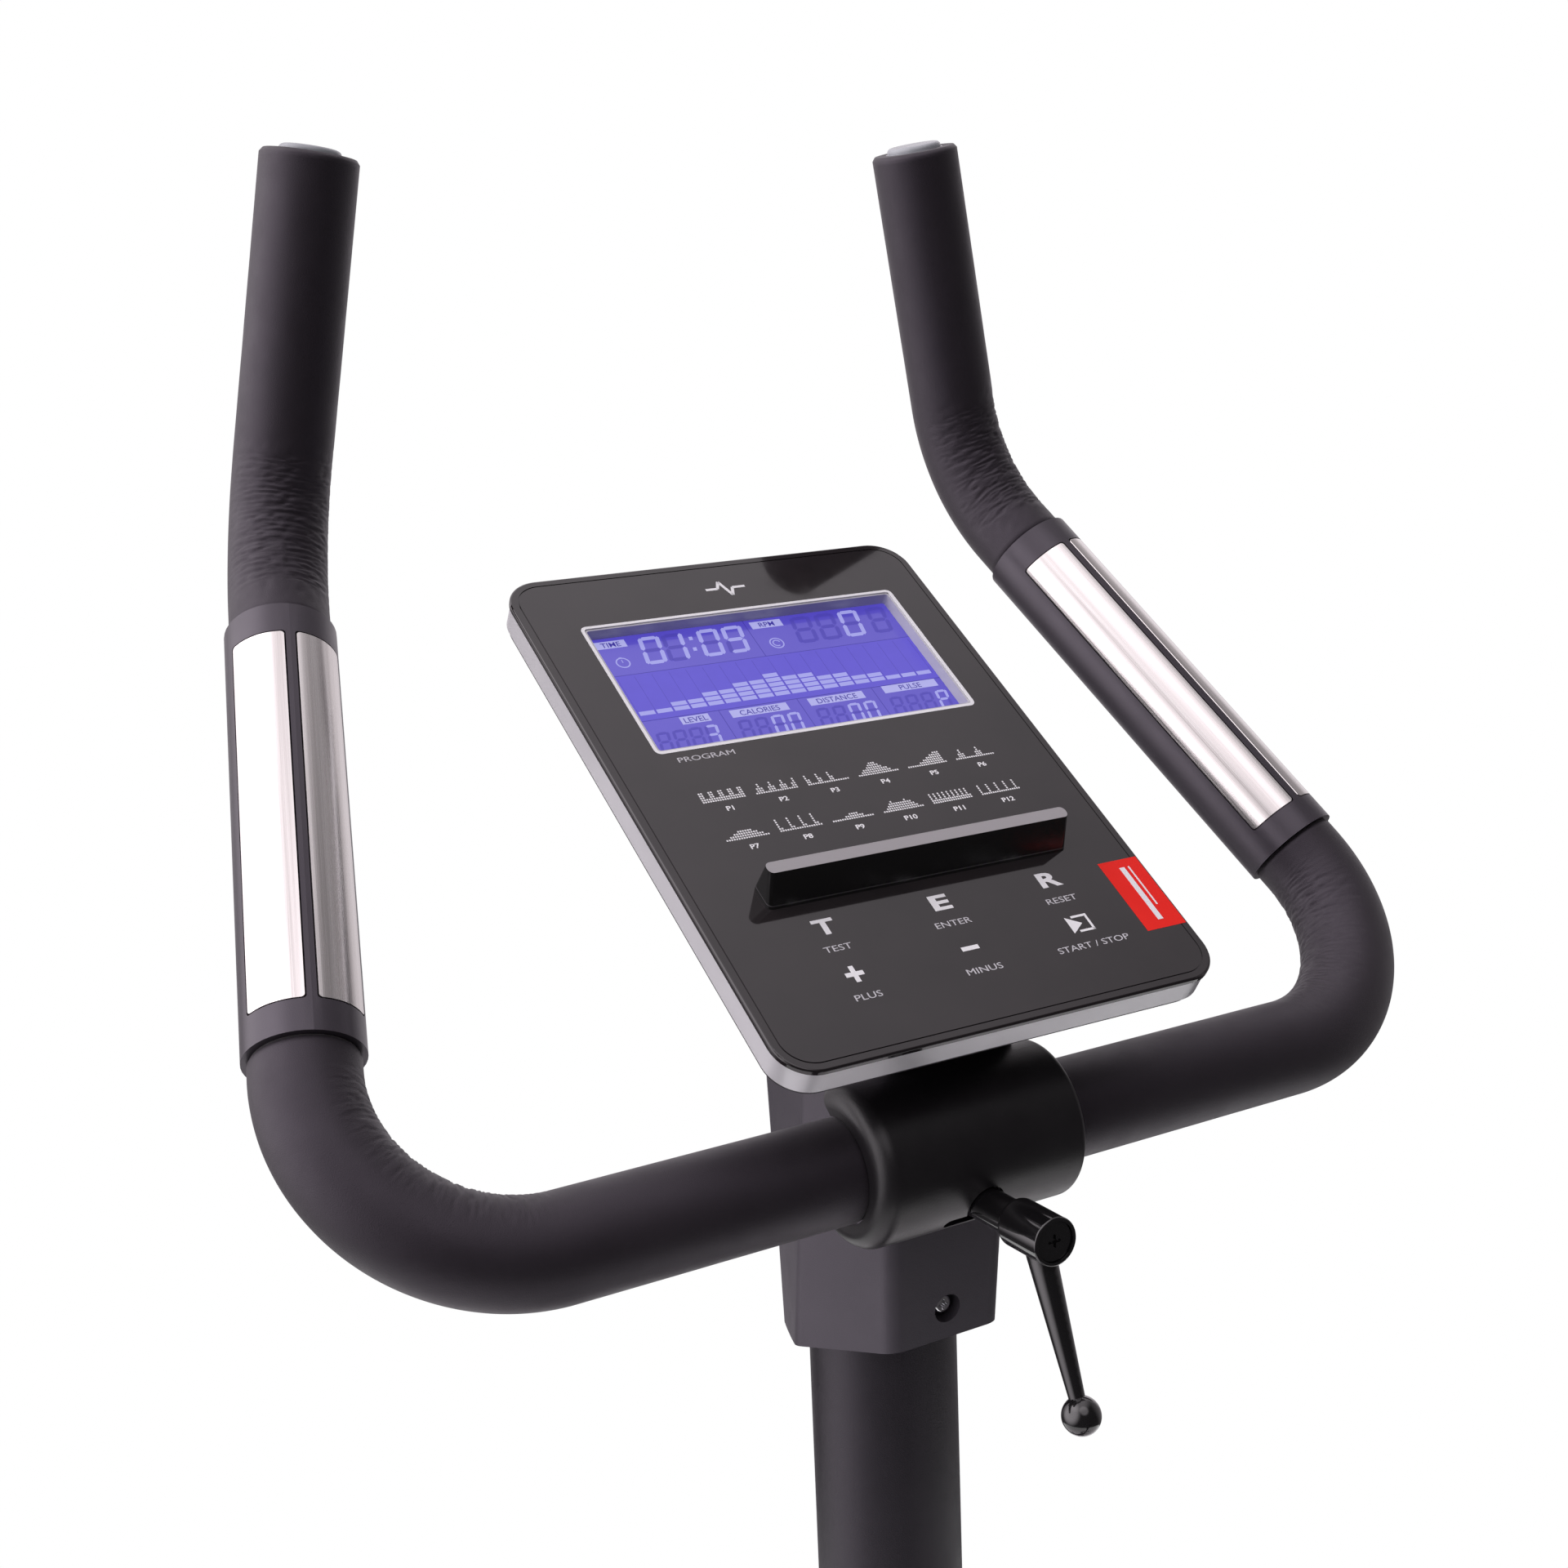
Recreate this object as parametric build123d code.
"""Upright magnetic exercise bike, one STEP file per piece.

Millimetres. +X is the rider's right, +Y is forwards, +Z is up. The origin is on the floor,
under the middle of the bike.
"""

import os
from math import acos, atan2, cos, hypot, radians, sin, tan

from build123d import *

# ---- driving dimensions -------------------------------------------------------------------
HALF_LENGTH = 500.0          # floor footprint, front to back
HALF_WIDTH = 270.0           # floor footprint, side to side
BAR_Y, BAR_Z = 180.0, 1100.0  # centre of the handlebar where it is clamped

# handlebar
BAR_R, BAR_WALL = 12.7, 1.5
FOAM_R = 19.0
BAR_CLEAR = 0.1              # foam and housings over the steel bar
BAR_HALF = 240.35            # to the sharp corner between the cross bar and the side
SIDE_LENGTH, HORN_LENGTH = 319.4, 149.2
SIDE_DIR = (-0.2376, 0.7559, 0.6100)   # right side, from the cross bar to the horn
HORN_DIR = (-0.1761, 0.0484, 0.9832)
LOWER_BEND, UPPER_BEND = 65.0, 80.0
HOUSING_R = 20.95
HOUSING_START, HOUSING_END = 89.0, 271.0
PLATE_START, PLATE_END = 101.5, 257.5
PLATE_HALF_WIDTH, PLATE_OFF_ANGLE = 10.5, 36.5
PLATE_POCKET, PLATE_GAP, PLATE_CORNER = 1.2, 0.5, 1.3

# clamp, shroud and lever
SHROUD_R, SHROUD_WALL = 29.5, 2.5
SHROUD_LEFT, SHROUD_RIGHT = -51.0, 36.0
CHEEK_HOLE_R = 19.5
COVER_CORNER, COVER_FLOOR_SLOPE = 8.0, 19.0
COVER_FRONT, COVER_MIDDLE, COVER_REAR = 4.5, 50.0, 89.0   # behind the bar centre
COVER_LOW, COVER_HIGH, COVER_FLOOR = -115.0, 120.0, -85.0  # from the bar centre
CLAMP_R, CLAMP_HALF = 20.0, 22.0
RUN_GAP = 0.05               # radial clearance of a running fit
SCREW_HEAD_R, COVER_SCREW_R = 7.0, 2.0
LEVER_FRONT = (-6.5, -67.0, -8.5)            # middle of the hub's front face, from the bar centre
LEVER_TILT = 6.0                             # upwards, towards the rider
STUD_R, NECK_R, HUB_R, BALL_R = 4.0, 6.6, 8.8, 6.9
HUB_LENGTH, NECK_END, BOSS_START, STUD_END = 23.0, 41.0, 45.5, 54.0   # from the hub's face
NECK_CLEAR = 0.8
BALL_Y, BALL_Z = -84.6, -65.7
COVER_SCREW_DROP, COVER_WELL_R, COVER_WELL_DEPTH = -72.5, 5.7, 6.0
CROSS_LENGTH, CROSS_WIDTH = 4.4, 1.1         # cross recess of the cover screws
SLOT_LEFT, SLOT_RIGHT, SLOT_DROP, SLOT_R = -19.0, -6.5, 19.2, 2.2   # slot in the shroud

# console
CONSOLE_Y, CONSOLE_Z, CONSOLE_TILT = 78.07, 119.15, 28.23   # from the bar centre
CONSOLE_W, CONSOLE_L, CONSOLE_CORNER = 184.1, 256.1, 15.0
FACE_DEPTH, BAND_DEPTH, RIM_DEPTH, CASE_DEPTH = 2.2, 11.9, 14.0, 26.5
WINDOW_W, WINDOW_H, WINDOW_U, WINDOW_V = 141.0, 71.6, 1.5, 60.7
GROOVE_INSET, GROOVE_WIDTH, GROOVE_DEPTH = 3.2, 0.5, 0.35   # line round the face
LEDGE_HALF, LEDGE_RISE, LEDGE_CORNER = 64.5, 13.0, 2.2
LEDGE_BACK, LEDGE_TOP_BACK, LEDGE_TOP_FRONT, LEDGE_FRONT = -46.0, -47.8, -53.0, -58.5

# mast
MAST_R, MAST_WALL = 29.25, 2.0
MAST_LEAN = 4.58
MAST_REF_Y, MAST_REF_Z = 47.14, -123.24      # a point of the mast axis, from the bar centre
MAST_FOOT_Z, SOCKET_TOP_Z = 430.0, 560.0
MAST_TOP_DROP = -36.0                        # from the bar centre

# drive
CRANK_Y, CRANK_Z, CRANK_LENGTH = 20.0, 310.0, 170.0
WHEEL_Y, WHEEL_Z, WHEEL_R = 325.0, 270.0, 120.0
BIG_PULLEY_R, SMALL_PULLEY_R = 120.0, 20.0
BELT_X0, BELT_X1, BELT_THICK, BELT_GAP = 37.0, 47.0, 3.0, 0.3
CASING_HALF, CASING_WALL, CASING_EDGE = 62.0, 2.5, 14.0
CASING_CRANK_R, CASING_WHEEL_R = 165.0, 150.0
LINE_INSET, LINE_WIDTH, LINE_DEPTH = 36.0, 3.0, 0.8   # line pressed into the casing's sides
CASING_SCREW_R = 3.6
INLET_R = 2.8

# frame and saddle
BEAM_LOW, BEAM_HIGH, BEAM_HALF = 56.0, 116.0, 25.0
STAB_Z0, STAB_Z1, STAB_DEPTH, STAB_CORNER, STAB_WALL = 12.0, 52.0, 56.0, 12.0, 2.0
FOOT_BOLT_X, BOLT_R, BOLT_HEAD_R = 41.0, 4.0, 8.0
TRANSPORT_Y, TRANSPORT_Z, TRANSPORT_R = 470.0, 33.0, 30.0
CAP_LOW, CAP_HIGH, CAP_CORNER = 4.0, 56.0, 14.0
FRONT_STAB_Y, REAR_STAB_Y, STAB_HALF = 443.0, -468.0, 235.0
SEAT_LEAN = 17.0
SEAT_FOOT_Y, SEAT_FOOT_Z = -10.0, 112.0
SEAT_TUBE, SEAT_TUBE_WALL, SEAT_TUBE_LENGTH = 50.0, 2.5, 530.0
POST, POST_WALL, POST_START, POST_END = 40.0, 2.0, 300.0, 705.0
SLIDE_GAP = 0.3
BUSH_LOW, BUSH_RIM = 430.0, 7.0
HEIGHT_KNOB_ALONG, HEIGHT_STUD_R, SLIDE_STUD_R = 480.0, 5.0, 4.0
RAIL_Z0, RAIL_Z1, RAIL_HALF = 775.0, 800.0, 23.0
SADDLE_Y = -245.0
RUNNER_R, RUNNER_Z, RUNNER_END_Z = 3.5, 837.0, 859.0
SHELL_Z, CUSHION_Z, CUSHION_RISE = 857.0, 866.0, 58.0
PEDAL_IN, PEDAL_OUT, PEDAL_HALF = 94.0, 184.0, 50.0   # across X, and half along Y

LOW = (Align.CENTER, Align.CENTER, Align.MIN)


# ---- helpers ------------------------------------------------------------------------------
def block(x0, x1, y0, y1, z0, z1):
    """Box between two corners."""
    return Pos((x0 + x1) / 2, (y0 + y1) / 2, (z0 + z1) / 2) * Box(x1 - x0, y1 - y0, z1 - z0)


def rod(start, end, radius):
    """Cylinder from one point to another."""
    axis = Vector(end) - Vector(start)
    return Plane(origin=start, z_dir=axis) * Cylinder(radius, axis.length, align=LOW)


def pipe(start, end, outer, inner):
    """Round tube from one point to another."""
    return rod(start, end, outer) - rod(start, end, inner)


def across(x0, x1, y, z, radius):
    """Cylinder along X."""
    return rod((x0, y, z), (x1, y, z), radius)


def slab(plane, width, height, corner, low, high):
    """Plate with rounded corners, between two heights over a plane."""
    return extrude(plane.offset(low) * RectangleRounded(width, height, corner), amount=high - low)


def square_tube(plane, size, wall, low, high, corner=6.0):
    """Square tube with rounded corners along a plane's normal."""
    inner = size - 2 * wall
    outer_bar = slab(plane, size, size, corner, low, high)
    return outer_bar - slab(plane, inner, inner, max(corner - wall, 1.0), low, high)


def two_circle_face(x, first, first_r, second, second_r):
    """Outline of a band stretched round two circles, in the plane at x (points are Y, Z)."""
    dy, dz = second[0] - first[0], second[1] - first[1]
    heading = atan2(dz, dy)
    spread = acos((first_r - second_r) / hypot(dy, dz))

    def on(centre, radius, angle):
        return centre[0] + radius * cos(angle), centre[1] + radius * sin(angle)

    half_turn = radians(180)
    a, b = on(first, first_r, heading + spread), on(first, first_r, heading - spread)
    c, d = on(second, second_r, heading - spread), on(second, second_r, heading + spread)
    around = ThreePointArc(a, on(first, first_r, heading + half_turn), b)
    front = ThreePointArc(c, on(second, second_r, heading), d)
    outline = Plane.YZ.offset(x) * make_face([around, Line(b, c), front, Line(d, a)])
    return outline


def two_circle_solid(x0, x1, first, first_r, second, second_r):
    """Solid between x0 and x1 with a two-circle outline."""
    return extrude(two_circle_face(x0, first, first_r, second, second_r), amount=x1 - x0)


def ring_sector(x0, x1, centre, inner, outer, start, end):
    """Part of a ring about X, between two angles counted from +Y towards +Z."""
    y, z = centre
    ring = across(x0, x1, y, z, outer) - across(x0, x1, y, z, inner)
    reach = 2.0 * outer
    corners = [(y, z)]
    steps = 4
    for step in range(steps + 1):
        angle = radians(start + (end - start) * step / steps)
        corners.append((y + reach * cos(angle), z + reach * sin(angle)))
    wedge = extrude(Plane.YZ.offset(x0) * make_face(Polyline(*corners, close=True)), amount=x1 - x0)
    return ring & wedge


def both_sides(shape):
    """A piece and its mirror image across the bike's middle plane."""
    return [shape, mirror(shape, about=Plane.YZ)]


def write(name, *shapes):
    """Writes one piece, or a group of separate ones, as a STEP file."""
    shape = shapes[0] if len(shapes) == 1 else Compound(children=list(shapes))
    export_step(shape, f"parts/{name}.step")


# ---- places worked out from the driving dimensions ----------------------------------------
BAR = Vector(0, BAR_Y, BAR_Z)
LEVER_WAY = Vector(0, -cos(radians(LEVER_TILT)), sin(radians(LEVER_TILT)))
CONSOLE = Plane(
    origin=BAR + Vector(0, CONSOLE_Y, CONSOLE_Z),
    x_dir=(1, 0, 0),
    z_dir=(0, -sin(radians(CONSOLE_TILT)), cos(radians(CONSOLE_TILT))),
)


def console_at(u, v):
    """Plane on the console's face, moved along its width and its length."""
    middle = CONSOLE.origin + CONSOLE.x_dir * u + CONSOLE.y_dir * v
    return Plane(origin=middle, x_dir=CONSOLE.x_dir, z_dir=CONSOLE.z_dir)


def mast_point(z):
    """Point of the mast's axis at a height."""
    run = z - BAR_Z - MAST_REF_Z
    return Vector(0, BAR_Y + MAST_REF_Y + run * tan(radians(MAST_LEAN)), z)


def seat_point(along, rise=0.0, side=0.0):
    """Point along the seat tube's axis; rise is towards the rider's back."""
    lean = radians(SEAT_LEAN)
    y = SEAT_FOOT_Y - along * sin(lean) - rise * cos(lean)
    z = SEAT_FOOT_Z + along * cos(lean) - rise * sin(lean)
    return Vector(side, y, z)


SEAT_PLANE = Plane(
    origin=seat_point(0),
    x_dir=(1, 0, 0),
    z_dir=(0, -sin(radians(SEAT_LEAN)), cos(radians(SEAT_LEAN))),
)


def bar_corner_points(side):
    """The bar's sharp corners on one side: bar end, upper bend and lower bend."""
    lower = BAR + Vector(side * BAR_HALF, 0, 0)
    upper = lower + side_direction(side) * SIDE_LENGTH
    end = upper + Vector(side * HORN_DIR[0], HORN_DIR[1], HORN_DIR[2]) * HORN_LENGTH
    return lower, upper, end


def side_direction(side):
    """Direction of the bar's straight side, from the cross bar up to the horn."""
    return Vector(side * SIDE_DIR[0], SIDE_DIR[1], SIDE_DIR[2]).normalized()


def bar_sweep(points, bends, radius):
    """Round bar along straight runs joined by arcs."""
    path = FilletPolyline(*points, radius=bends)
    return sweep(Plane(origin=path @ 0, z_dir=path % 0) * Circle(radius), path=path)


# ---- handlebar ----------------------------------------------------------------------------
def handlebar_tube():
    left, right = bar_corner_points(-1), bar_corner_points(1)
    points = [left[2], left[1], left[0], right[0], right[1], right[2]]
    bends = [UPPER_BEND, LOWER_BEND, LOWER_BEND, UPPER_BEND]
    return bar_sweep(points, bends, BAR_R) - bar_sweep(points, bends, BAR_R - BAR_WALL)


def foam(points, bend):
    hole = BAR_R + BAR_CLEAR
    return bar_sweep(points, [bend], FOAM_R) - bar_sweep(points, [bend], hole)


def lower_foam(side):
    """Foam round the lower bend; its inner end turns inside the shroud's cheek."""
    lower = bar_corner_points(side)[0]
    cheek = SHROUD_RIGHT if side > 0 else -SHROUD_LEFT
    start = BAR + Vector(side * (cheek - 1.5), 0, 0)
    return foam([start, lower, lower + side_direction(side) * HOUSING_START], LOWER_BEND)


def horn_foam(side):
    lower, upper, end = bar_corner_points(side)
    return foam([lower + side_direction(side) * HOUSING_END, upper, end], UPPER_BEND)


def plate_prism(side, off_angle, half_width, low, high, corner):
    """Rounded block standing on the side section, that cuts one plate's outline."""
    along = side_direction(side)
    lower = bar_corner_points(side)[0]
    up = Vector(0, -along.Z, along.Y).normalized()
    out = up.rotate(Axis((0, 0, 0), along), off_angle)
    middle = lower + along * ((low + high) / 2)
    plane = Plane(origin=middle, x_dir=along, z_dir=out)
    return slab(plane, high - low, 2 * half_width, corner, 4.0, 30.0)


def sensor_side(side):
    """One pulse sensor: its housing and its two contact plates."""
    along = side_direction(side)
    lower = bar_corner_points(side)[0]
    start, end = lower + along * HOUSING_START, lower + along * HOUSING_END
    housing = pipe(start, end, HOUSING_R, BAR_R + BAR_CLEAR)
    skin = pipe(start, end, HOUSING_R, HOUSING_R - PLATE_POCKET)
    plates = []
    for turn in (-PLATE_OFF_ANGLE, PLATE_OFF_ANGLE):
        pocket = plate_prism(
            side, turn, PLATE_HALF_WIDTH + PLATE_GAP,
            PLATE_START - PLATE_GAP, PLATE_END + PLATE_GAP, PLATE_CORNER,
        )
        cutter = plate_prism(side, turn, PLATE_HALF_WIDTH, PLATE_START, PLATE_END, PLATE_CORNER)
        plates.append(skin & cutter)
        housing -= skin & pocket
    return housing, plates


def bar_end_cap(side):
    """Domed plug pressed into the end of a horn."""
    end = bar_corner_points(side)[2]
    out = Vector(side * HORN_DIR[0], HORN_DIR[1], HORN_DIR[2]).normalized()
    plane = Plane(origin=end, z_dir=out)
    cap = plane * Cylinder(12.0, 2.6, align=LOW)
    rim = cap.edges().filter_by(lambda edge: (edge.center() - end).dot(out) > 2.0)
    cap = fillet(rim, 2.0)
    stem = plane.offset(-18) * Cylinder(BAR_R - BAR_WALL, 18, align=LOW)
    return cap + stem


def write_handlebar():
    write("handlebar_tube", handlebar_tube())
    write("lower_foam_grips", lower_foam(-1), lower_foam(1))
    write("horn_foam_grips", horn_foam(-1), horn_foam(1))
    left_housing, left_plates = sensor_side(-1)
    right_housing, right_plates = sensor_side(1)
    write("sensor_housings", left_housing, right_housing)
    write("sensor_plates", *left_plates, *right_plates)
    write("bar_end_caps", bar_end_cap(-1), bar_end_cap(1))


# ---- clamp lever --------------------------------------------------------------------------
def lever_axis_point(back):
    """Point on the lever's axis, at a distance behind the hub's front face."""
    return BAR + Vector(*LEVER_FRONT) - LEVER_WAY * back


def write_lever():
    ball = BAR + Vector(LEVER_FRONT[0], BALL_Y, BALL_Z)
    stud = rod(lever_axis_point(STUD_END), lever_axis_point(NECK_END - 2), STUD_R)
    neck = rod(lever_axis_point(NECK_END), lever_axis_point(HUB_LENGTH - 2), NECK_R)
    hub = rod(lever_axis_point(HUB_LENGTH), lever_axis_point(0), HUB_R)
    hub_ends = hub.edges().filter_by(GeomType.CIRCLE).sort_by(Axis.Y)
    hub = fillet(hub_ends[-1:], 2.5)
    hub = fillet(hub.edges().filter_by(GeomType.CIRCLE).sort_by(Axis.Y)[:1], 0.7)
    arm_start = lever_axis_point(HUB_LENGTH / 2)
    arm_axis = ball - arm_start
    arm = Plane(origin=arm_start, z_dir=arm_axis) * Cone(5.6, 2.6, arm_axis.length, align=LOW)
    head_hole = rod(lever_axis_point(2.5), lever_axis_point(-3), SCREW_HEAD_R + 0.3)
    write("clamp_lever", stud + neck + hub + arm + Pos(ball) * Sphere(BALL_R) - head_hole)
    screw = rod(lever_axis_point(2.5), lever_axis_point(0.8), SCREW_HEAD_R)
    cross_face = Plane(origin=lever_axis_point(0.8), x_dir=(1, 0, 0), z_dir=LEVER_WAY)
    cross = slab(cross_face, 5.2, 1.1, 0.5, -1.0, 1.0)
    cross += slab(cross_face, 1.1, 5.2, 0.5, -1.0, 1.0)
    write("lever_screw", screw - cross)


# ---- mast head, cover and shroud ----------------------------------------------------------
def cover_outline(height, shrink):
    """Plan outline of the mast-top cover at a height over the bar, shrunk all round by an amount."""
    front, middle, rear = 27.25 + 0.038 * height, 36.7 - 0.027 * height, 33.5 + 0.1 * height
    corners = [(-front, COVER_FRONT), (front, COVER_FRONT), (middle, COVER_MIDDLE),
               (rear, COVER_REAR), (-rear, COVER_REAR), (-middle, COVER_MIDDLE)]
    face = make_face(Polyline(*corners, close=True))
    face = fillet(face.vertices(), COVER_CORNER)
    if shrink:
        face = offset(face, amount=-shrink)
    return Plane(origin=(0, BAR_Y, BAR_Z + height)) * face


def under_console(depth):
    """Everything below a depth under the console's face."""
    return CONSOLE.offset(-depth) * Box(600, 600, 600, align=(Align.CENTER, Align.CENTER, Align.MAX))


def above_cover_floor(rise):
    """Everything above the cover's sloping underside, raised by an amount."""
    slope = radians(COVER_FLOOR_SLOPE)
    lip = (0, BAR_Y + COVER_FRONT, BAR_Z + COVER_FLOOR)
    floor = Plane(origin=lip, x_dir=(1, 0, 0), z_dir=(0, sin(slope), cos(slope)))
    return floor.offset(rise) * Box(300, 400, 300, align=LOW)


def shroud_side(x0, x1):
    """Space in front of the seam between the black shroud and the cover behind it."""
    seam = [(-60, -60), (3.5, -60), (3.5, 16.3), (46.5, 46.7), (-60, 60)]
    corners = [(BAR_Y + y, BAR_Z + z) for y, z in seam]
    return extrude(Plane.YZ.offset(x0) * make_face(Polyline(*corners, close=True)), amount=x1 - x0)


def write_mast_head():
    outer = loft([cover_outline(COVER_LOW, 0), cover_outline(COVER_HIGH, 0)], ruled=True)
    inner = loft(
        [cover_outline(COVER_LOW, SHROUD_WALL), cover_outline(COVER_HIGH, SHROUD_WALL)], ruled=True)
    hollow = inner & above_cover_floor(SHROUD_WALL)
    cover = (outer & above_cover_floor(0)) - hollow
    x0, x1 = SHROUD_LEFT, SHROUD_RIGHT
    screw_z = BAR_Z + COVER_SCREW_DROP
    front = BAR_Y + COVER_FRONT
    cover += rod((0, front + 1, screw_z), (0, front + 8.5, screw_z), COVER_WELL_R + 2.3)
    cover &= under_console(CASE_DEPTH)
    cover -= across(x0 - 5, x1 + 5, BAR_Y, BAR_Z, SHROUD_R + 0.1) & shroud_side(x0 - 6, x1 + 6)
    cover -= across(x0 - 5, x1 + 5, BAR_Y, BAR_Z, CLAMP_R + 0.6)
    cover -= rod(mast_point(BAR_Z - 160), mast_point(BAR_Z - 60), MAST_R + 0.4)
    well_end = front + COVER_WELL_DEPTH
    cover -= rod((0, front - 10, screw_z), (0, well_end, screw_z), COVER_WELL_R)
    cover -= rod((0, front - 10, screw_z), (0, front + 25, screw_z), COVER_SCREW_R)
    write("mast_cover", cover)
    write_shroud(x0, x1)
    write_clamp_head()


def mast_cover_screw():
    """Cross-head screw at the bottom of the cover's well."""
    seat_y, z = BAR_Y + COVER_FRONT + COVER_WELL_DEPTH, BAR_Z + COVER_SCREW_DROP
    head = rod((0, seat_y, z), (0, seat_y - 3.0, z), 4.0)
    rim = head.edges().filter_by(GeomType.CIRCLE).sort_by(Axis.Y)[0]
    head = fillet(rim, 1.4)
    face = Plane(origin=(0, seat_y - 3.0, z), x_dir=(1, 0, 0), z_dir=(0, -1, 0))
    head -= slab(face, CROSS_LENGTH, CROSS_WIDTH, 0.5, -1.6, 1.0)
    head -= slab(face, CROSS_WIDTH, CROSS_LENGTH, 0.5, -1.6, 1.0)
    return head + rod((0, seat_y, z), (0, seat_y + 9.5, z), COVER_SCREW_R)


def write_shroud(x0, x1):
    """Black shroud round the front of the clamp, with a hole for the lever's neck."""
    shroud = across(x0, x1, BAR_Y, BAR_Z, SHROUD_R)
    ends = shroud.edges().filter_by(GeomType.CIRCLE).sort_by(Axis.X)
    shroud = fillet(ends[0], 7.0)
    ends = shroud.edges().filter_by(GeomType.CIRCLE).sort_by(Axis.X)
    shroud = fillet(ends[-1], 2.5)
    shroud -= across(x0 + 3, x1 - 3, BAR_Y, BAR_Z, SHROUD_R - SHROUD_WALL - 2) + across(
        x0 + 9, x1 - 3, BAR_Y, BAR_Z, SHROUD_R - SHROUD_WALL)
    shroud -= across(x0 - 5, x1 + 5, BAR_Y, BAR_Z, CHEEK_HOLE_R)
    shroud -= rod(lever_axis_point(50), lever_axis_point(20), NECK_R + NECK_CLEAR)
    slot_z, y0, y1 = BAR_Z - SLOT_DROP, BAR_Y - 40, BAR_Y - 10
    for x in (SLOT_LEFT, SLOT_RIGHT):
        shroud -= rod((x, y0, slot_z), (x, y1, slot_z), SLOT_R)
    shroud -= block(SLOT_LEFT, SLOT_RIGHT, y0, y1, slot_z - SLOT_R, slot_z + SLOT_R)
    write("bar_shroud", shroud & shroud_side(x0 - 6, x1 + 6))


def write_clamp_head():
    """Welded head: plug in the mast, clamp round the bar and bracket under the console."""
    top_z = BAR_Z + MAST_TOP_DROP
    plug = rod(mast_point(top_z - 34), mast_point(top_z), MAST_R - MAST_WALL - 0.1)
    plug += rod(mast_point(top_z), mast_point(top_z + 5), MAST_R - 1.0)
    clamp = across(-CLAMP_HALF, CLAMP_HALF, BAR_Y, BAR_Z, CLAMP_R)
    boss = rod(lever_axis_point(STUD_END + 5), lever_axis_point(BOSS_START), 6.5)
    neck = block(-16, 16, BAR_Y + 13, BAR_Y + 66, top_z + 3, BAR_Z + 15)
    plate = block(-14, 14, BAR_Y + 48, BAR_Y + 60, BAR_Z, BAR_Z + 130) & under_console(CASE_DEPTH + 1)
    pad = slab(console_at(0, -36), 44, 36, 3, -CASE_DEPTH - 3, -CASE_DEPTH)
    head = plug + clamp + boss + neck + plate + pad
    head -= across(-60, 60, BAR_Y, BAR_Z, BAR_R + RUN_GAP)
    head -= rod(lever_axis_point(STUD_END + 9), lever_axis_point(BOSS_START - 5), STUD_R + RUN_GAP)
    write("clamp_head", head)


# ---- console ------------------------------------------------------------------------------
def write_console():
    corner = CONSOLE_CORNER
    window = console_at(WINDOW_U, WINDOW_V)
    face = slab(CONSOLE, CONSOLE_W, CONSOLE_L, corner, -FACE_DEPTH, 0)
    top_edges = face.faces().sort_by(lambda side: side.center().dot(CONSOLE.z_dir))[-1].edges()
    face = fillet(top_edges, 0.9)
    face -= slab(window, WINDOW_W, WINDOW_H, 2.0, -FACE_DEPTH - 1, 1)
    inset, groove = 2 * GROOVE_INSET, 2 * GROOVE_INSET + 2 * GROOVE_WIDTH
    line = slab(CONSOLE, CONSOLE_W - inset, CONSOLE_L - inset, corner - GROOVE_INSET, -GROOVE_DEPTH, 1)
    line -= slab(CONSOLE, CONSOLE_W - groove, CONSOLE_L - groove, corner - GROOVE_INSET - 0.5, -1, 2)
    face -= line
    write("console_face", face)

    band = slab(CONSOLE, CONSOLE_W - 1, CONSOLE_L - 1, corner, -BAND_DEPTH, -FACE_DEPTH)
    band -= slab(CONSOLE, CONSOLE_W - 9, CONSOLE_L - 9, corner - 4, -BAND_DEPTH, -FACE_DEPTH)
    write("console_band", band)

    rim = slab(CONSOLE, CONSOLE_W - 3, CONSOLE_L - 3, corner, -RIM_DEPTH, -BAND_DEPTH)
    back = slab(CONSOLE, CONSOLE_W - 44, CONSOLE_L - 50, corner, -CASE_DEPTH, -RIM_DEPTH)
    back_face = back.faces().sort_by(lambda side: side.center().dot(CONSOLE.z_dir))[0]
    back = chamfer(back_face.edges(), 7.0)
    hollow = slab(CONSOLE, CONSOLE_W - 62, CONSOLE_L - 68, corner, -CASE_DEPTH + 2.5, -BAND_DEPTH)
    write("console_rear_case", rim + back - hollow)

    lcd = slab(window, WINDOW_W + 8, WINDOW_H + 8, 2.0, -8.0, -5.4)
    write("lcd_panel", lcd)
    board = slab(CONSOLE, 150, 215, 4.0, -10.6, -9.0)
    for v in (-95, 95):
        for u in (-65, 65):
            board -= slab(console_at(u, v), 4, 4, 1.9, -11, -8.5)
    write("console_board", board)

    # reading ledge: a bar with a slanted front, along X
    profile = Plane(origin=CONSOLE.origin - Vector(LEDGE_HALF, 0, 0), x_dir=CONSOLE.y_dir,
                    z_dir=(1, 0, 0))
    corners = [(LEDGE_FRONT, 0), (LEDGE_BACK, 0), (LEDGE_TOP_BACK, LEDGE_RISE),
               (LEDGE_TOP_FRONT, LEDGE_RISE)]
    ledge = extrude(profile * make_face(Polyline(*corners, close=True)), amount=2 * LEDGE_HALF)
    upright = ledge.edges().filter_by(lambda edge: abs((edge % 0.5).dot(CONSOLE.z_dir)) > 0.5)
    write("tablet_ledge", fillet(upright, LEDGE_CORNER))


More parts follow.
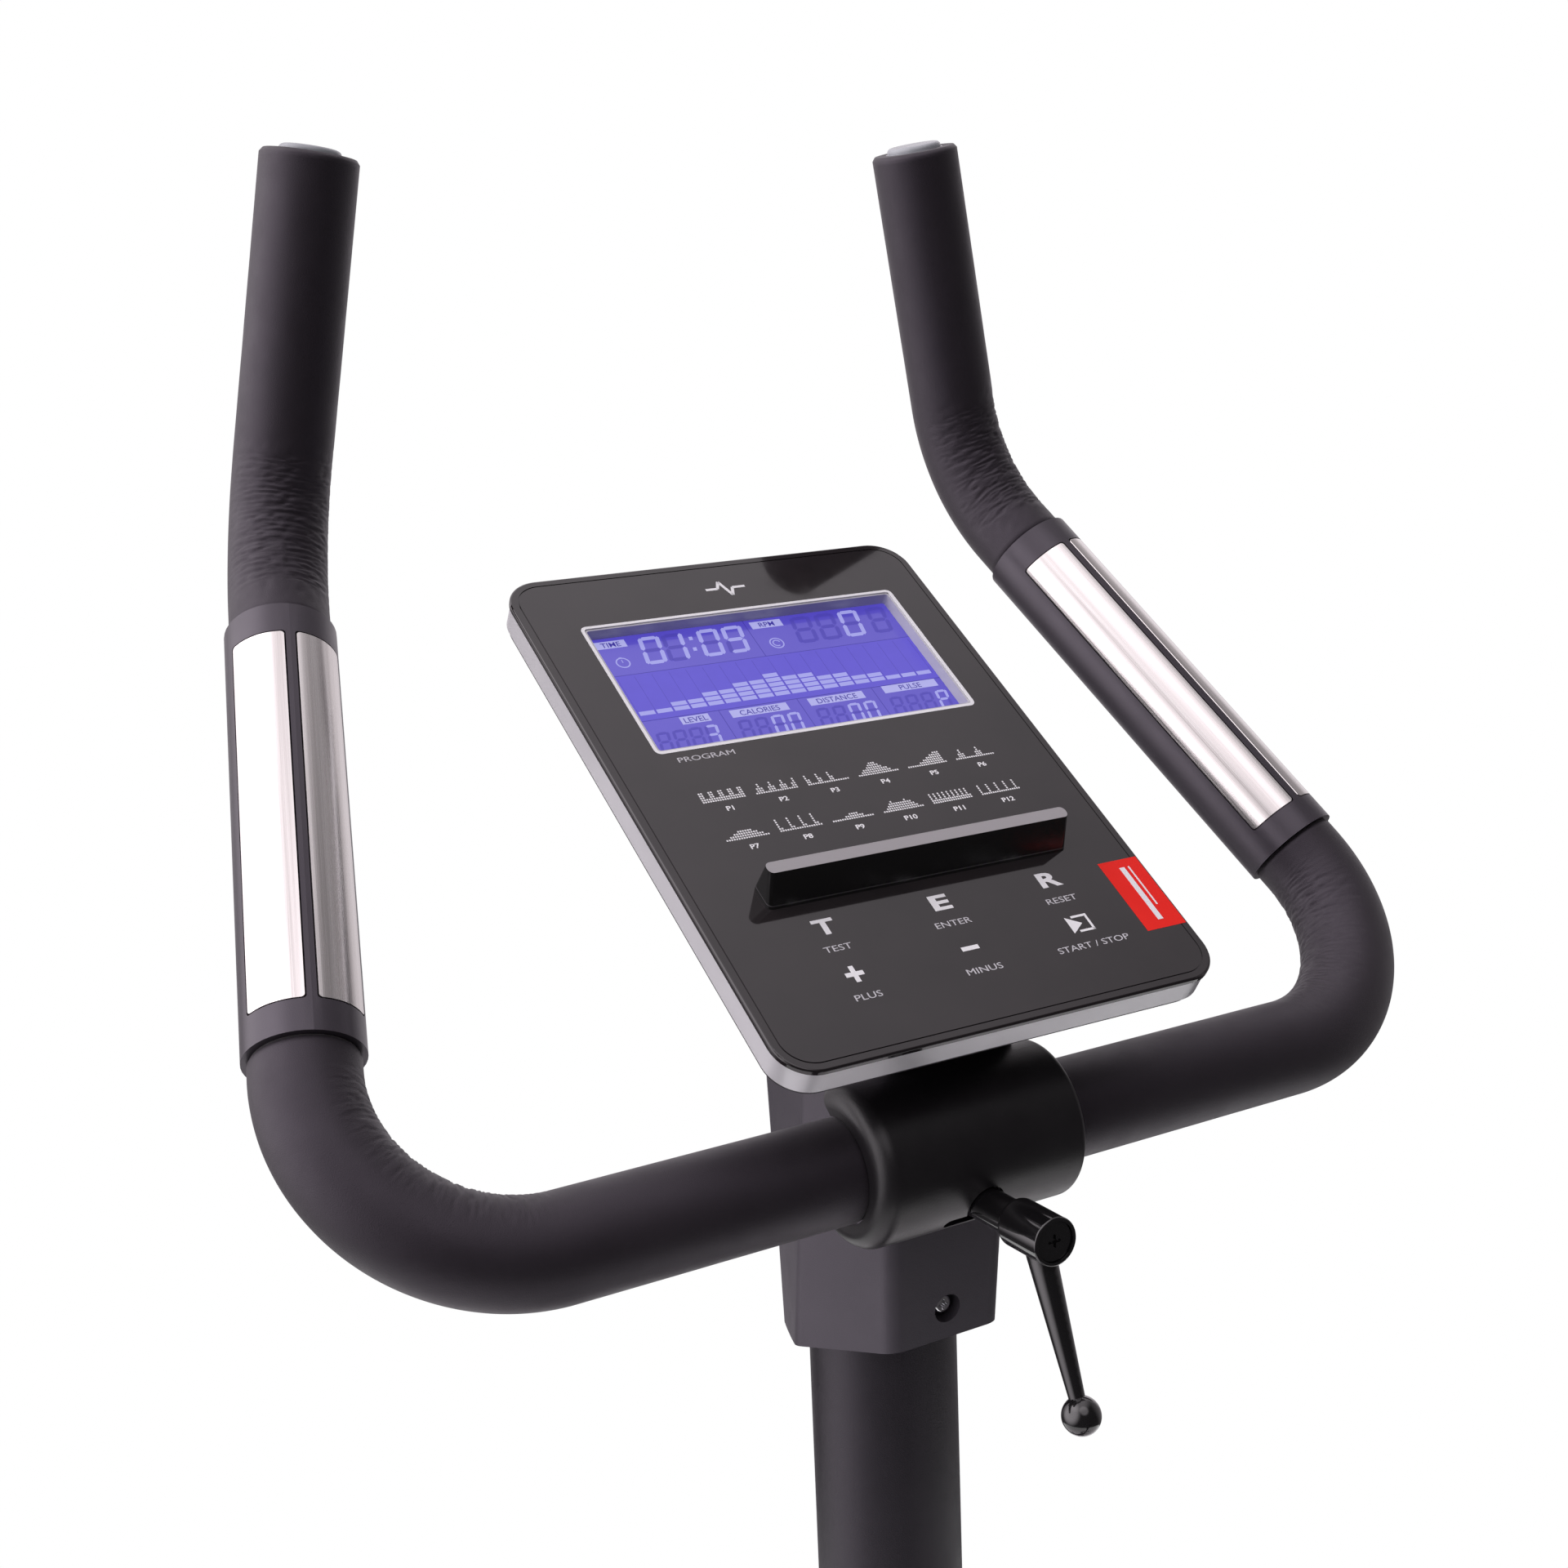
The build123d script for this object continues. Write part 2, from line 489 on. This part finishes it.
# ---- base frame ---------------------------------------------------------------------------
def write_base():
    beam = block(-BEAM_HALF, BEAM_HALF, -492, 468, BEAM_LOW, BEAM_HIGH)
    beam = fillet(beam.edges().filter_by(Axis.Y), 6.0)
    hollow = block(-BEAM_HALF + 2.5, BEAM_HALF - 2.5, -489.5, 465.5, BEAM_LOW + 2.5, BEAM_HIGH - 2.5)
    beam -= fillet(hollow.edges().filter_by(Axis.Y), 3.5)
    for y in (REAR_STAB_Y, FRONT_STAB_Y):
        beam += block(-56, -20, y - 26, y + 26, STAB_Z1, BEAM_LOW + 1)
        beam += block(20, 56, y - 26, y + 26, STAB_Z1, BEAM_LOW + 1)
        beam += block(-24, 24, y - 26, y + 26, STAB_Z1, BEAM_LOW + 0.5)
    bolts = []
    bolt_holes = []
    for y in (REAR_STAB_Y, FRONT_STAB_Y):
        for x in (-FOOT_BOLT_X, FOOT_BOLT_X):
            shank = rod((x, y, 8), (x, y, 64), BOLT_R)
            head = rod((x, y, 8), (x, y, STAB_Z0), BOLT_HEAD_R)
            nut = Pos(x, y, BEAM_LOW + 1) * extrude(RegularPolygon(7.0, 6), amount=7)
            dome = Pos(x, y, BEAM_LOW + 8) * Sphere(5.4)
            bolts.append(shank + head + nut + (dome & block(x - 8, x + 8, y - 8, y + 8, 64, 75)))
            bolt_holes.append(rod((x, y, 5), (x, y, 70), BOLT_R + 0.2))
    for hole in bolt_holes:
        beam -= hole
    inner = MAST_R - MAST_WALL
    socket_ends = mast_point(BEAM_HIGH - 20), mast_point(SOCKET_TOP_Z)
    socket = pipe(*socket_ends, inner - 0.1, inner - 3.1) - block(-60, 60, 0, 400, 0, BEAM_HIGH)
    for hole, _ in mast_bolt_holes():
        socket -= hole
    write("main_frame", beam + socket)

    for name, y in (("rear_stabiliser", REAR_STAB_Y), ("front_stabiliser", FRONT_STAB_Y)):
        middle = Plane(origin=(-STAB_HALF, y, (STAB_Z0 + STAB_Z1) / 2), x_dir=(0, 1, 0),
                       z_dir=(1, 0, 0))
        depth, height = STAB_DEPTH, STAB_Z1 - STAB_Z0
        inner_depth, inner_height = depth - 2 * STAB_WALL, height - 2 * STAB_WALL
        inner_corner = STAB_CORNER - STAB_WALL
        tube = slab(middle, depth, height, STAB_CORNER, 0, 2 * STAB_HALF)
        tube -= slab(middle, inner_depth, inner_height, inner_corner, 0, 2 * STAB_HALF)
        for hole in bolt_holes:
            tube -= hole
        write(name, tube)

    rear_cap = block(STAB_HALF, HALF_WIDTH, -HALF_LENGTH, -436, CAP_LOW, CAP_HIGH)
    rear_cap = fillet(rear_cap.edges().filter_by(Axis.X), CAP_CORNER)
    rear_cap = fillet(rear_cap.faces().sort_by(Axis.X)[-1].edges(), 6)
    rear_cap += block(242, 262, -488, -448, 0, 12)
    wheel_y, wheel_z = TRANSPORT_Y, TRANSPORT_Z
    front_cap = block(STAB_HALF, HALF_WIDTH, 411, 486, CAP_LOW, CAP_HIGH)
    front_cap = fillet(front_cap.edges().filter_by(Axis.X), CAP_CORNER)
    front_cap = fillet(front_cap.faces().sort_by(Axis.X)[-1].edges(), 3)
    front_cap += block(242, 262, 415, 433, 0, 12)
    front_cap -= block(241, 264, 436.5, 520, -1, 80)
    front_cap -= across(230, 280, wheel_y, wheel_z, BOLT_R)
    write("stabiliser_end_caps", *both_sides(rear_cap), *both_sides(front_cap))
    axle = across(STAB_HALF, HALF_WIDTH, wheel_y, wheel_z, BOLT_R)
    write("transport_axles", *both_sides(axle))
    wheel = across(242, 263, wheel_y, wheel_z, TRANSPORT_R)
    wheel = fillet(wheel.edges(), 4.0)
    wheel -= across(240, 265, wheel_y, wheel_z, BOLT_R + RUN_GAP)
    for x0, x1 in ((241, 246), (259, 264)):
        wheel -= across(x0, x1, wheel_y, wheel_z, 21.0) - across(x0, x1, wheel_y, wheel_z, 9.0)
    right, left = both_sides(wheel)
    write("transport_wheel_right", right)
    write("transport_wheel_left", left)
    return bolts


# ---- mast ---------------------------------------------------------------------------------
def mast_bolt_places():
    """Height and direction of each bolt that holds the mast on its socket."""
    return ((485, (0, -1, 0)), (525, (0, -1, 0)), (505, (1, 0, 0)), (505, (-1, 0, 0)))


def mast_bolt_holes():
    """Shank hole and head seat of each mast bolt."""
    holes = []
    for z, direction in mast_bolt_places():
        centre, way = mast_point(z), Vector(direction)
        hole = rod(centre + way * 5, centre + way * (MAST_R + 3), 4.05)
        seat = rod(centre + way * (MAST_R - 0.4), centre + way * (MAST_R + 5), 7.05)
        holes.append((hole, seat))
    return holes


def write_mast():
    foot, top = mast_point(MAST_FOOT_Z), mast_point(BAR_Z + MAST_TOP_DROP)
    inner = MAST_R - MAST_WALL
    mast = pipe(foot, top, MAST_R, inner)
    for hole, seat in mast_bolt_holes():
        mast = mast - hole - seat
    write("mast", mast)
    bolts = []
    for z, direction in mast_bolt_places():
        centre, way = mast_point(z), Vector(direction)
        shank = rod(centre + way * (inner - 4), centre + way * (MAST_R + 1), 4.0)
        bolts.append(shank + rod(centre + way * (MAST_R - 0.4), centre + way * (MAST_R + 4.5), 7.0))
    boot = Plane(origin=mast_point(440), z_dir=top - foot) * Cone(41, 34, 32, align=LOW)
    boot -= rod(mast_point(420), mast_point(500), MAST_R + 0.1)
    boot -= casing_block(0)
    write("mast_boot", boot)
    return bolts


# ---- casing -------------------------------------------------------------------------------
CRANK_CENTRE, WHEEL_CENTRE = (CRANK_Y, CRANK_Z), (WHEEL_Y, WHEEL_Z)


def casing_block(inset):
    """Solid outer form of the whole casing, shrunk by an inset."""
    half = CASING_HALF - inset
    form = two_circle_solid(
        -half, half, CRANK_CENTRE, CASING_CRANK_R - inset, WHEEL_CENTRE, CASING_WHEEL_R - inset,
    )
    rims = form.edges().group_by(Axis.X)[0] + form.edges().group_by(Axis.X)[-1]
    return fillet(rims, CASING_EDGE - inset)


def write_casing():
    shell = casing_block(0) - casing_block(CASING_WALL)
    shell -= slab(SEAT_PLANE, SEAT_TUBE + 1, SEAT_TUBE + 1, 6.5, -60, SEAT_TUBE_LENGTH)
    shell -= rod(mast_point(BEAM_HIGH - 20), mast_point(500), MAST_R + 0.3)
    shell -= block(-20.5, 20.5, CRANK_Y - 20.5, CRANK_Y + 20.5, 100, 200)
    shell -= block(-30, 30, WHEEL_Y - 40, WHEEL_Y + 40, 100, 140)
    shell -= across(-100, 100, CRANK_Y, CRANK_Z, 24.0)
    shell -= block(-70, 70, -400, 600, 0, BEAM_HIGH + 0.5)

    for side in (-1, 1):
        x0, x1 = sorted((side * CASING_HALF, side * (CASING_HALF - LINE_DEPTH)))
        radii = CASING_CRANK_R - LINE_INSET, CASING_WHEEL_R - LINE_INSET
        line = two_circle_solid(x0, x1, CRANK_CENTRE, radii[0], WHEEL_CENTRE, radii[1])
        line -= two_circle_solid(
            x0, x1, CRANK_CENTRE, radii[0] - LINE_WIDTH, WHEEL_CENTRE, radii[1] - LINE_WIDTH)
        shell -= line

    screws = []
    reach = {CRANK_CENTRE: (150.0, (110, 165, 215, 265)), WHEEL_CENTRE: (134.0, (60, -10, -70))}
    for (y, z), (radius, angles) in reach.items():
        for angle in angles:
            place = (y + radius * cos(radians(angle)), z + radius * sin(radians(angle)))
            screw = across(-CASING_HALF - 0.6, -CASING_HALF + 6, *place, CASING_SCREW_R)
            head = Plane(origin=(-CASING_HALF - 0.6, *place), x_dir=(0, 1, 0), z_dir=(-1, 0, 0))
            screw -= slab(head, CROSS_LENGTH, CROSS_WIDTH, 0.5, -1.2, 1.0)
            screw -= slab(head, CROSS_WIDTH, CROSS_LENGTH, 0.5, -1.2, 1.0)
            screws.append(screw)
            shell -= across(-CASING_HALF - 3, -CASING_HALF + 8, *place, CASING_SCREW_R)
    inlet_y, inlet_z, inlet_x = CRANK_Y - CASING_CRANK_R, CRANK_Z, -32.0
    inlet = rod((inlet_x, inlet_y - 1.5, inlet_z), (inlet_x, inlet_y + 14, inlet_z), 6.5)
    inlet -= rod((inlet_x, inlet_y - 2, inlet_z), (inlet_x, inlet_y + 11, inlet_z), INLET_R)
    shell -= rod((inlet_x, inlet_y - 6, inlet_z), (inlet_x, inlet_y + 20, inlet_z), 6.5)
    write("dc_inlet", inlet)
    left = shell & block(-100, 0, -400, 600, 0, 700)
    right = shell & block(0, 100, -400, 600, 0, 700)
    write("casing_left", left)
    write("casing_right", right)
    return screws


# ---- crank, pedals, pulleys, flywheel and brake -------------------------------------------
def write_crank():
    shell = across(-34, 34, CRANK_Y, CRANK_Z, 22) - across(-34, 34, CRANK_Y, CRANK_Z, 17.5)
    strut = block(-20, 20, CRANK_Y - 20, CRANK_Y + 20, BEAM_HIGH, CRANK_Z - 10)
    strut -= block(-17.5, 17.5, CRANK_Y - 17.5, CRANK_Y + 17.5, BEAM_HIGH, CRANK_Z - 24)
    strut -= across(-34, 34, CRANK_Y, CRANK_Z, 21.9)
    strut -= slab(SEAT_PLANE, SEAT_TUBE, SEAT_TUBE, 6.0, -20, SEAT_TUBE_LENGTH)
    write("bottom_bracket", strut + shell)
    write("crank_axle", across(-88, 88, CRANK_Y, CRANK_Z, 8.5))

    arms, axles, pedals, straps = [], [], [], []
    for side in (1, -1):
        pedal_y = CRANK_Y + side * CRANK_LENGTH
        x_in, x_out = 72 * side, 86 * side
        arm = two_circle_solid(min(x_in, x_out), max(x_in, x_out), CRANK_CENTRE, 20,
                               (pedal_y, CRANK_Z), 13)
        arm = fillet(arm.edges().group_by(Axis.X)[0 if side < 0 else -1], 3.0)
        arm += across(56 * side, 73 * side, CRANK_Y, CRANK_Z, 15)
        arm -= across(50 * side, 100 * side, CRANK_Y, CRANK_Z, 8.5)
        arm -= across(50 * side, 100 * side, pedal_y, CRANK_Z, 5.0)
        arms.append(arm)
        axle = across(74 * side, 180 * side, pedal_y, CRANK_Z, 5.0)
        axle += across(86 * side, 92 * side, pedal_y, CRANK_Z, 8.5)
        axles.append(axle)
        low, high = sorted((PEDAL_IN * side, PEDAL_OUT * side))
        y0, y1 = pedal_y - PEDAL_HALF, pedal_y + PEDAL_HALF
        body = block(low, high, y0, y1, CRANK_Z - 14, CRANK_Z + 12)
        body = fillet(body.edges().filter_by(Axis.X), 9)
        for y in (pedal_y - 29, pedal_y + 29):
            body -= block(low + 9, high - 9, y - 13, y + 13, CRANK_Z - 20, CRANK_Z + 20)
        body += block(low + 12, high - 12, pedal_y - 42, pedal_y + 42, CRANK_Z - 24, CRANK_Z - 13)
        body -= across(low - 1, high + 1, pedal_y, CRANK_Z, 5.0 + RUN_GAP)
        pedals.append(body)
        hoop_plane = Plane(origin=((low + high) / 2, pedal_y + 10, CRANK_Z + 27), x_dir=(1, 0, 0),
                           z_dir=(0, 1, 0))
        hoop = extrude(hoop_plane * RectangleRounded(96, 82, 26), amount=24)
        hoop -= extrude(hoop_plane * RectangleRounded(90, 76, 23), amount=24)
        hoop -= block(low - 10, high + 10, pedal_y, pedal_y + 50, CRANK_Z - 40, CRANK_Z - 8)
        straps.append(hoop - block(low, high, pedal_y, pedal_y + 50, CRANK_Z - 15, CRANK_Z + 12))
    for name, pieces in (("crank_arm", arms), ("pedal", pedals), ("pedal_strap", straps)):
        write(f"{name}_right", pieces[0])
        write(f"{name}_left", pieces[1])
    write("pedal_axles", *axles)

    pulley = across(36, 48, CRANK_Y, CRANK_Z, BIG_PULLEY_R)
    for x0, x1 in ((35, 39.5), (44.5, 49)):
        pulley -= across(x0, x1, CRANK_Y, CRANK_Z, 106) - across(x0, x1, CRANK_Y, CRANK_Z, 24)
    for turn in range(6):
        angle = radians(60 * turn)
        pulley -= across(30, 55, CRANK_Y + 66 * cos(angle), CRANK_Z + 66 * sin(angle), 22)
    write("drive_pulley", pulley - across(30, 55, CRANK_Y, CRANK_Z, 8.5))


def write_flywheel():
    y, z = WHEEL_CENTRE
    wheel = across(-16, 16, y, z, WHEEL_R)
    wheel = chamfer(wheel.edges(), 1.5)
    for x0, x1 in ((-17, -7), (7, 17)):
        wheel -= across(x0, x1, y, z, 92) - across(x0, x1, y, z, 26)
    wheel += across(-20, 20, y, z, 16)
    write("flywheel", wheel - across(-30, 30, y, z, 6.0))
    write("flywheel_axle", across(-34, 50, y, z, 6.0))
    small = across(36, 48, y, z, SMALL_PULLEY_R) + across(33, 36, y, z, 10)
    write("flywheel_pulley", small - across(30, 55, y, z, 6.0))
    belt = two_circle_solid(BELT_X0, BELT_X1, CRANK_CENTRE, BIG_PULLEY_R + BELT_GAP + BELT_THICK,
                            WHEEL_CENTRE, SMALL_PULLEY_R + BELT_GAP + BELT_THICK)
    belt -= two_circle_solid(BELT_X0 - 1, BELT_X1 + 1, CRANK_CENTRE, BIG_PULLEY_R + BELT_GAP,
                             WHEEL_CENTRE, SMALL_PULLEY_R + BELT_GAP)
    write("drive_belt", belt)

    # brake: a curved arm over the rim, hinged between the two flywheel brackets
    pivot_angle, pivot_r = radians(125), 140.0
    pivot = (y + pivot_r * cos(pivot_angle), z + pivot_r * sin(pivot_angle))
    arm = ring_sector(-13, 13, WHEEL_CENTRE, 128, 133, 50, 127)
    arm += across(-13, 13, *pivot, 8.5) + across(-31, 31, *pivot, 4.0)
    write("brake_arm", arm)
    magnets = [
        ring_sector(-10, 10, WHEEL_CENTRE, 122.5, 128, start, start + 9) for start in (55, 68, 81, 94, 107)
    ]
    write("brake_magnets", *magnets)

    plate = two_circle_solid(25, 29, WHEEL_CENTRE, 24, pivot, 12)
    foot = Plane.YZ.offset(25) * make_face(Polyline(
        (y - 38, 70), (y + 38, 70), (y + 20, z), (y - 20, z), close=True))
    plate += extrude(foot, amount=4)
    plate -= across(20, 35, y, z, 14) + across(20, 35, *pivot, 4.0 + RUN_GAP)
    write("flywheel_brackets", *both_sides(plate))

    bearings = []
    for side in (-1, 1):
        for inner, outer, near, far, place in (
            (8.5, 17.5, 24, 34, CRANK_CENTRE), (6.0, 14.0, 23, 31, WHEEL_CENTRE)):
            low, high = sorted((side * near, side * far))
            ring = across(low, high, *place, outer) - across(low, high, *place, inner + RUN_GAP)
            bearings.append(ring)
    write("ball_bearings", *bearings)
    motor = block(-CASING_HALF + CASING_WALL, -34, 96, 146, 352, 392)
    motor = fillet(motor.edges().filter_by(Axis.X), 4) + across(-34, -26, 121, 372, 13)
    write("brake_motor", motor)
    sensor = block(20, 34.5, CRANK_Y + 2, CRANK_Y + 16, 216, 236)
    write("speed_sensor", sensor)


# ---- saddle -------------------------------------------------------------------------------
def knob(start, way, stud_length, stud_r, grip_r):
    """Clamp knob: a threaded stud and a round fluted grip."""
    way = Vector(way).normalized()
    start = Vector(start)
    grip_start = start + way * stud_length
    grip = rod(grip_start, grip_start + way * 22, grip_r)
    plane = Plane(origin=grip_start, z_dir=way)
    for turn in range(6):
        angle = radians(60 * turn)
        flute = plane * Pos((grip_r + 4) * cos(angle), (grip_r + 4) * sin(angle), -1)
        grip -= flute * Cylinder(8, 30, align=LOW)
    return grip + rod(start, grip_start + way, stud_r)


def write_saddle():
    tube = square_tube(SEAT_PLANE, SEAT_TUBE, SEAT_TUBE_WALL, -20, SEAT_TUBE_LENGTH)
    tube -= block(-60, 60, -200, 200, 0, BEAM_HIGH)
    back = Vector(0, -cos(radians(SEAT_LEAN)), -sin(radians(SEAT_LEAN)))
    axis_point = seat_point(HEIGHT_KNOB_ALONG)
    boss = rod(axis_point + back * 23.5, axis_point + back * 44, 11.0)
    bore = rod(axis_point, axis_point + back * 60, HEIGHT_STUD_R + RUN_GAP)
    opening = SEAT_TUBE - 2 * SEAT_TUBE_WALL
    cavity = slab(SEAT_PLANE, opening, opening, 3.5, -20, SEAT_TUBE_LENGTH)
    write("seat_tube", tube + (boss - cavity) - bore)

    bush_top = SEAT_TUBE_LENGTH + BUSH_RIM
    inside = POST + 2 * SLIDE_GAP
    rim = slab(SEAT_PLANE, SEAT_TUBE + 6, SEAT_TUBE + 6, 9.0, SEAT_TUBE_LENGTH, bush_top)
    rim = fillet(rim.faces().sort_by(Axis.Z)[-1].edges(), 2.5)
    bush = rim + slab(SEAT_PLANE, opening, opening, 3.5, BUSH_LOW, SEAT_TUBE_LENGTH + 1)
    bush -= slab(SEAT_PLANE, inside, inside, 4.3, BUSH_LOW - 1, bush_top + 1)
    write("seat_post_bush", bush - bore)

    post = square_tube(SEAT_PLANE, POST, POST_WALL, POST_START, POST_END, corner=4.0)
    post -= block(-60, 60, -600, 200, RAIL_Z0, 1000)
    rail = block(-RAIL_HALF, RAIL_HALF, -335, -105, RAIL_Z0, RAIL_Z1)
    rail = fillet(rail.edges().filter_by(Axis.Y), 2.0)
    write("seat_post", post + rail)
    tip = axis_point + back * (POST / 2 + SLIDE_GAP + 0.1)
    write("height_knob", knob(tip, back, 29.0, HEIGHT_STUD_R, 21.0))

    slider = block(-29, 29, SADDLE_Y - 45, SADDLE_Y + 45, 769, 806)
    slider = fillet(slider.edges().filter_by(Axis.Y), 3.0)
    slider -= block(-23.4, 23.4, SADDLE_Y - 60, SADDLE_Y + 60, 774.6, RAIL_Z1 + 0.4)
    slider -= block(-20.6, 20.6, SADDLE_Y - 60, SADDLE_Y + 60, 760, 776)
    slider += rod((0, SADDLE_Y, 805), (0, SADDLE_Y, 836), 11.0)
    slider += block(-27, 27, SADDLE_Y - 14, SADDLE_Y + 14, 828, 846)
    knob_z = 788.0
    slider += across(28, 36, SADDLE_Y, knob_z, 10)
    slider -= across(20, 40, SADDLE_Y, knob_z, SLIDE_STUD_R + RUN_GAP)
    runners = []
    for side in (-1, 1):
        points = [(side * 34, SADDLE_Y - 96, RUNNER_END_Z), (side * 21, SADDLE_Y - 66, RUNNER_Z),
                  (side * 21, SADDLE_Y + 62, RUNNER_Z), (side * 12, SADDLE_Y + 100, RUNNER_END_Z)]
        runners.append(bar_sweep([Vector(*p) for p in points], [20, 20], RUNNER_R))
    for runner in runners:
        slider -= runner
    write("saddle_slider", slider)
    write("saddle_rails", *runners)
    knob_tip = (RAIL_HALF + 0.5, SADDLE_Y, knob_z)
    write("slide_knob", knob(knob_tip, (1, 0, 0), 16.0, SLIDE_STUD_R, 17.0))

    def outline(shrink):
        corners = [(-122, -112), (122, -112), (112, -10), (30, 138), (-30, 138), (-112, -10)]
        face = make_face(Polyline(*[(x, y + SADDLE_Y) for x, y in corners], close=True))
        face = fillet(face.vertices(), 26)
        return offset(face, amount=-shrink) if shrink else face

    shell = extrude(Plane.XY.offset(SHELL_Z) * outline(6), amount=CUSHION_Z - SHELL_Z)
    for runner in runners:
        shell -= runner
    write("saddle_shell", shell)
    cushion = extrude(Plane.XY.offset(CUSHION_Z) * outline(0), amount=CUSHION_RISE)
    cushion = fillet(cushion.edges().group_by(Axis.Z)[-1], 20)
    write("saddle_cushion", cushion)


def main():
    os.makedirs("parts", exist_ok=True)
    write_handlebar()
    write_lever()
    write_mast_head()
    write_console()
    frame_bolts = write_base() + write_mast()
    write("frame_bolts", *frame_bolts)
    write("cover_screws", mast_cover_screw(), *write_casing())
    write_crank()
    write_flywheel()
    write_saddle()


main()
